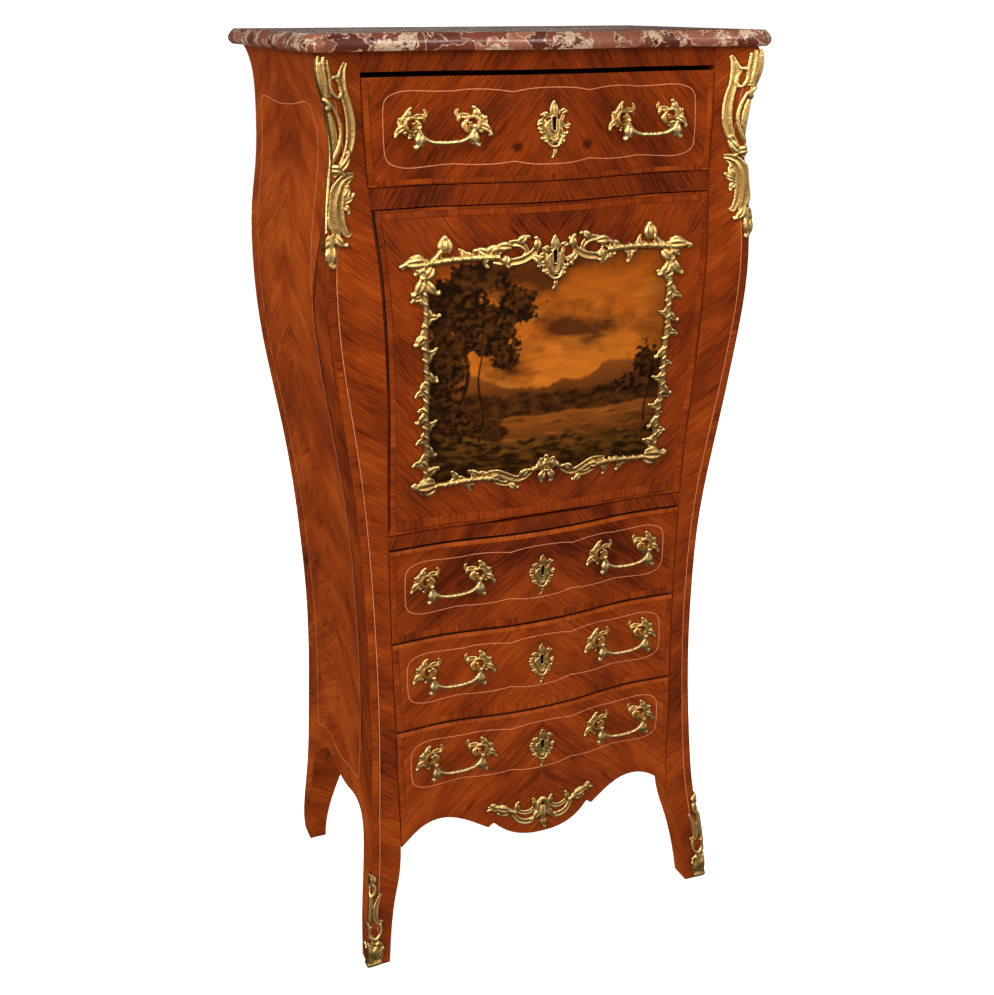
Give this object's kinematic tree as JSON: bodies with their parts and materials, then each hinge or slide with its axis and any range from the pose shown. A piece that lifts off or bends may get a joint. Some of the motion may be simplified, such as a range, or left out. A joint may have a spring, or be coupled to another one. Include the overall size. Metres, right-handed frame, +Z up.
{
  "type": "fall-front writing cabinet",
  "caption": "Bombe fall-front writing cabinet on splayed legs, with a marble top, drawers above and below a hinged writing flap, and gilt mounts.",
  "frame": {"origin": "on the floor, under the middle of the outline", "axes": "+Z up, -Y out of the front, +X to the viewer's right"},
  "size_m": [0.6942, 0.4377, 1.422],
  "materials": {
    "marble": "polished",
    "veneer": "gloss",
    "oak": "matte",
    "inner_veneer": "satin",
    "gilt_brass": "satin",
    "lock_brass": "satin",
    "steel": "satin",
    "leather": "satin",
    "painted_panel": "gloss"
  },
  "bodies": {
    "carcase": {"marble_top": "marble", "top_board": "oak", "left_side": "veneer", "right_side": "veneer", "front_left_post": "veneer", "front_right_post": "veneer", "rear_posts": "veneer", "back_panel": "oak", "front_rails": "veneer", "dust_boards": "oak", "writing_floor": "inner_veneer", "bottom_board": "oak", "drawer_guides": "oak", "compartment_linings": "inner_veneer", "letter_nest": "inner_veneer", "corner_mounts": "gilt_brass", "sabots": "gilt_brass", "fall_fittings": "steel"},
    "fall": {"fall_board": "veneer", "fall_leather": "leather", "fall_picture": "painted_panel", "fall_frame": "gilt_brass", "fall_lock_case": "steel", "fall_stays": "lock_brass"},
    "fall_bolt": {"fall_lock_bolt": "steel"},
    "drawer_1": {"drawer_1_front": "veneer", "drawer_1_box": "oak", "drawer_1_lock_case": "steel", "drawer_1_escutcheon": "gilt_brass", "drawer_1_rosettes": "gilt_brass"},
    "drawer_1_bolt": {"drawer_1_lock_bolt": "steel"},
    "drawer_1_bail_left_swing": {"drawer_1_bail_left": "gilt_brass"},
    "drawer_1_bail_right_swing": {"drawer_1_bail_right": "gilt_brass"},
    "drawer_2": {"drawer_2_front": "veneer", "drawer_2_box": "oak", "drawer_2_lock_case": "steel", "drawer_2_escutcheon": "gilt_brass", "drawer_2_rosettes": "gilt_brass"},
    "drawer_2_bolt": {"drawer_2_lock_bolt": "steel"},
    "drawer_2_bail_left_swing": {"drawer_2_bail_left": "gilt_brass"},
    "drawer_2_bail_right_swing": {"drawer_2_bail_right": "gilt_brass"},
    "drawer_3": {"drawer_3_front": "veneer", "drawer_3_box": "oak", "drawer_3_lock_case": "steel", "drawer_3_escutcheon": "gilt_brass", "drawer_3_rosettes": "gilt_brass"},
    "drawer_3_bolt": {"drawer_3_lock_bolt": "steel"},
    "drawer_3_bail_left_swing": {"drawer_3_bail_left": "gilt_brass"},
    "drawer_3_bail_right_swing": {"drawer_3_bail_right": "gilt_brass"},
    "drawer_4": {"drawer_4_front": "veneer", "drawer_4_box": "oak", "drawer_4_lock_case": "steel", "drawer_4_escutcheon": "gilt_brass", "drawer_4_rosettes": "gilt_brass", "apron_mount": "gilt_brass"},
    "drawer_4_bolt": {"drawer_4_lock_bolt": "steel"},
    "drawer_4_bail_left_swing": {"drawer_4_bail_left": "gilt_brass"},
    "drawer_4_bail_right_swing": {"drawer_4_bail_right": "gilt_brass"},
    "letter_drawer_left": {"letter_drawer_left": "inner_veneer"},
    "letter_drawer_right": {"letter_drawer_right": "inner_veneer"}
  },
  "joints": [
    {"name": "fall_hinge", "type": "hinge", "parent": "carcase", "child": "fall", "pos_m": [0, -0.165, 0.754], "axis": [1, 0, 0], "range_deg": [0, 90]},
    {"name": "fall_bolt_throw", "type": "slide", "parent": "fall", "child": "fall_bolt", "axis": [0, 0, 1], "range_m": [0, 0.01]},
    {"name": "drawer_1_slide", "type": "slide", "parent": "carcase", "child": "drawer_1", "axis": [0, -1, 0], "range_m": [0, 0.24]},
    {"name": "drawer_1_bolt_throw", "type": "slide", "parent": "drawer_1", "child": "drawer_1_bolt", "axis": [0, 0, 1], "range_m": [0, 0.015]},
    {"name": "drawer_1_bail_left_hinge", "type": "hinge", "parent": "drawer_1", "child": "drawer_1_bail_left_swing", "pos_m": [-0.156, -0.19832, 1.3035], "axis": [-1, 0, 0], "range_deg": [0, 80]},
    {"name": "drawer_1_bail_right_hinge", "type": "hinge", "parent": "drawer_1", "child": "drawer_1_bail_right_swing", "pos_m": [0.156, -0.19832, 1.3035], "axis": [-1, 0, 0], "range_deg": [0, 80]},
    {"name": "drawer_2_slide", "type": "slide", "parent": "carcase", "child": "drawer_2", "axis": [0, -1, 0], "range_m": [0, 0.24]},
    {"name": "drawer_2_bolt_throw", "type": "slide", "parent": "drawer_2", "child": "drawer_2_bolt", "axis": [0, 0, 1], "range_m": [0, 0.0095]},
    {"name": "drawer_2_bail_left_hinge", "type": "hinge", "parent": "drawer_2", "child": "drawer_2_bail_left_swing", "pos_m": [-0.1455, -0.18678, 0.6385], "axis": [-1, 0, 0], "range_deg": [0, 80]},
    {"name": "drawer_2_bail_right_hinge", "type": "hinge", "parent": "drawer_2", "child": "drawer_2_bail_right_swing", "pos_m": [0.1455, -0.18678, 0.6385], "axis": [-1, 0, 0], "range_deg": [0, 80]},
    {"name": "drawer_3_slide", "type": "slide", "parent": "carcase", "child": "drawer_3", "axis": [0, -1, 0], "range_m": [0, 0.24]},
    {"name": "drawer_3_bolt_throw", "type": "slide", "parent": "drawer_3", "child": "drawer_3_bolt", "axis": [0, 0, 1], "range_m": [0, 0.008]},
    {"name": "drawer_3_bail_left_hinge", "type": "hinge", "parent": "drawer_3", "child": "drawer_3_bail_left_swing", "pos_m": [-0.1455, -0.18723, 0.486], "axis": [-1, 0, 0], "range_deg": [0, 80]},
    {"name": "drawer_3_bail_right_hinge", "type": "hinge", "parent": "drawer_3", "child": "drawer_3_bail_right_swing", "pos_m": [0.1455, -0.18723, 0.486], "axis": [-1, 0, 0], "range_deg": [0, 80]},
    {"name": "drawer_4_slide", "type": "slide", "parent": "carcase", "child": "drawer_4", "axis": [0, -1, 0], "range_m": [0, 0.24]},
    {"name": "drawer_4_bolt_throw", "type": "slide", "parent": "drawer_4", "child": "drawer_4_bolt", "axis": [0, 0, 1], "range_m": [0, 0.008]},
    {"name": "drawer_4_bail_left_hinge", "type": "hinge", "parent": "drawer_4", "child": "drawer_4_bail_left_swing", "pos_m": [-0.1455, -0.1924, 0.336], "axis": [-1, 0, 0], "range_deg": [0, 80]},
    {"name": "drawer_4_bail_right_hinge", "type": "hinge", "parent": "drawer_4", "child": "drawer_4_bail_right_swing", "pos_m": [0.1455, -0.1924, 0.336], "axis": [-1, 0, 0], "range_deg": [0, 80]},
    {"name": "letter_drawer_left_slide", "type": "slide", "parent": "carcase", "child": "letter_drawer_left", "axis": [0, -1, 0], "range_m": [0, 0.09]},
    {"name": "letter_drawer_right_slide", "type": "slide", "parent": "carcase", "child": "letter_drawer_right", "axis": [0, -1, 0], "range_m": [0, 0.09]}
  ]
}
